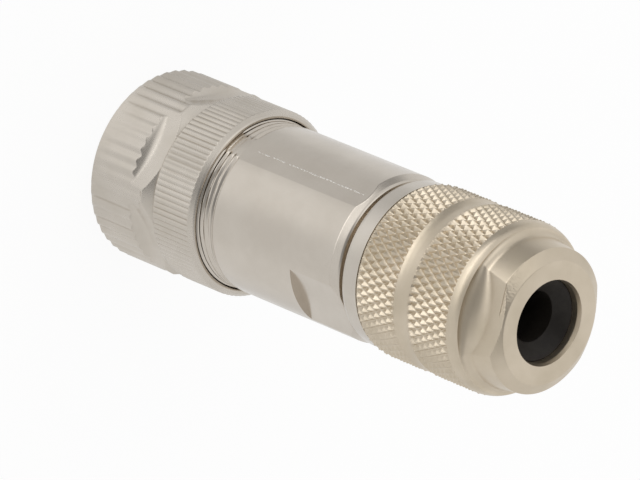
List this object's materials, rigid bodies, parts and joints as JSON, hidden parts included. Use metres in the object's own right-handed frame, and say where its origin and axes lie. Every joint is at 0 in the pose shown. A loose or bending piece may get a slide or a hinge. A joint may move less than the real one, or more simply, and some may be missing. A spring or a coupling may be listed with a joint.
{
  "type": "m12 connector",
  "caption": "Shielded field-wireable M12 cable socket: knurled coupling nut, threaded housing, clamped cable gland and slotted contacts.",
  "frame": {"origin": "centre of the coupling nut's front face, on which the connector stands", "axes": "+Z along the connector's axis towards the cable end; the parting-line flats face +X and -X, the wrench flats +Y and -Y"},
  "size_m": [0.02, 0.02, 0.0564],
  "materials": {
    "nut_nickel": "nickel plated, satin",
    "ring_nickel": "nickel plated, satin",
    "plain_nickel": "nickel plated, turned",
    "housing_nickel": "nickel plated, glossy",
    "collar_nickel": "nickel plated, turned",
    "gland_nickel": "nickel plated, satin, warm",
    "carrier_black": "glass-filled, matt",
    "block_black": "matt",
    "cage_plastic": "matt",
    "seal_rubber": "smooth",
    "cable_seal_rubber": "dusty",
    "contact_gold": "gold plated",
    "screw_steel": "zinc plated",
    "shield_brass": "tinned"
  },
  "bodies": {
    "head": {"knurled_ring": "ring_nickel", "front_sleeve": "plain_nickel", "contact_carrier": "carrier_black", "face_seal": "seal_rubber", "socket_contact_1": "contact_gold", "socket_contact_2": "contact_gold", "socket_contact_3": "contact_gold", "socket_contact_4": "contact_gold", "terminal_block": "block_black"},
    "nut": {"coupling_nut": "nut_nickel"},
    "screw_1": {"terminal_screw_1": "screw_steel"},
    "screw_2": {"terminal_screw_2": "screw_steel"},
    "screw_3": {"terminal_screw_3": "screw_steel"},
    "screw_4": {"terminal_screw_4": "screw_steel"},
    "sleeve_seal": {"housing_seal": "seal_rubber"},
    "sleeve": {"housing": "housing_nickel", "shield_ring": "shield_brass", "gland_adapter": "collar_nickel"},
    "clamp": {"clamp_cage": "cage_plastic", "cable_seal": "cable_seal_rubber"},
    "gland": {"gland_nut": "gland_nickel"}
  },
  "joints": [
    {"name": "nut_turn", "type": "hinge", "parent": "head", "child": "nut", "pos_m": [0, 0, 0], "axis": [0, 0, 1], "continuous": true},
    {"name": "housing_travel", "type": "slide", "parent": "head", "child": "sleeve_seal", "axis": [0, 0, 1], "range_m": [0, 0.00204]},
    {"name": "housing_turn", "type": "hinge", "parent": "sleeve_seal", "child": "sleeve", "pos_m": [0, 0, 0.03], "axis": [0, 0, 1], "range_deg": [0, 1081]},
    {"name": "gland_travel", "type": "slide", "parent": "sleeve", "child": "clamp", "axis": [0, 0, 1], "range_m": [0, 0.005]},
    {"name": "gland_turn", "type": "hinge", "parent": "clamp", "child": "gland", "pos_m": [0, 0, 0.05], "axis": [0, 0, 1], "range_deg": [0, 1801]},
    {"name": "screw_1_turn", "type": "hinge", "parent": "head", "child": "screw_1", "pos_m": [0, 0, 0.017], "axis": [0.7071, 0.7071, 0], "range_deg": [0, 720]},
    {"name": "screw_2_turn", "type": "hinge", "parent": "head", "child": "screw_2", "pos_m": [0, 0, 0.017], "axis": [-0.7071, 0.7071, 0], "range_deg": [0, 720]},
    {"name": "screw_3_turn", "type": "hinge", "parent": "head", "child": "screw_3", "pos_m": [0, 0, 0.017], "axis": [-0.7071, -0.7071, 0], "range_deg": [0, 720]},
    {"name": "screw_4_turn", "type": "hinge", "parent": "head", "child": "screw_4", "pos_m": [0, 0, 0.017], "axis": [0.7071, -0.7071, 0], "range_deg": [0, 720]}
  ],
  "couplings": [
    {"joint": "housing_turn", "follows": "housing_travel", "rad_per_m": 9240},
    {"joint": "gland_turn", "follows": "gland_travel", "rad_per_m": 6283.2}
  ]
}
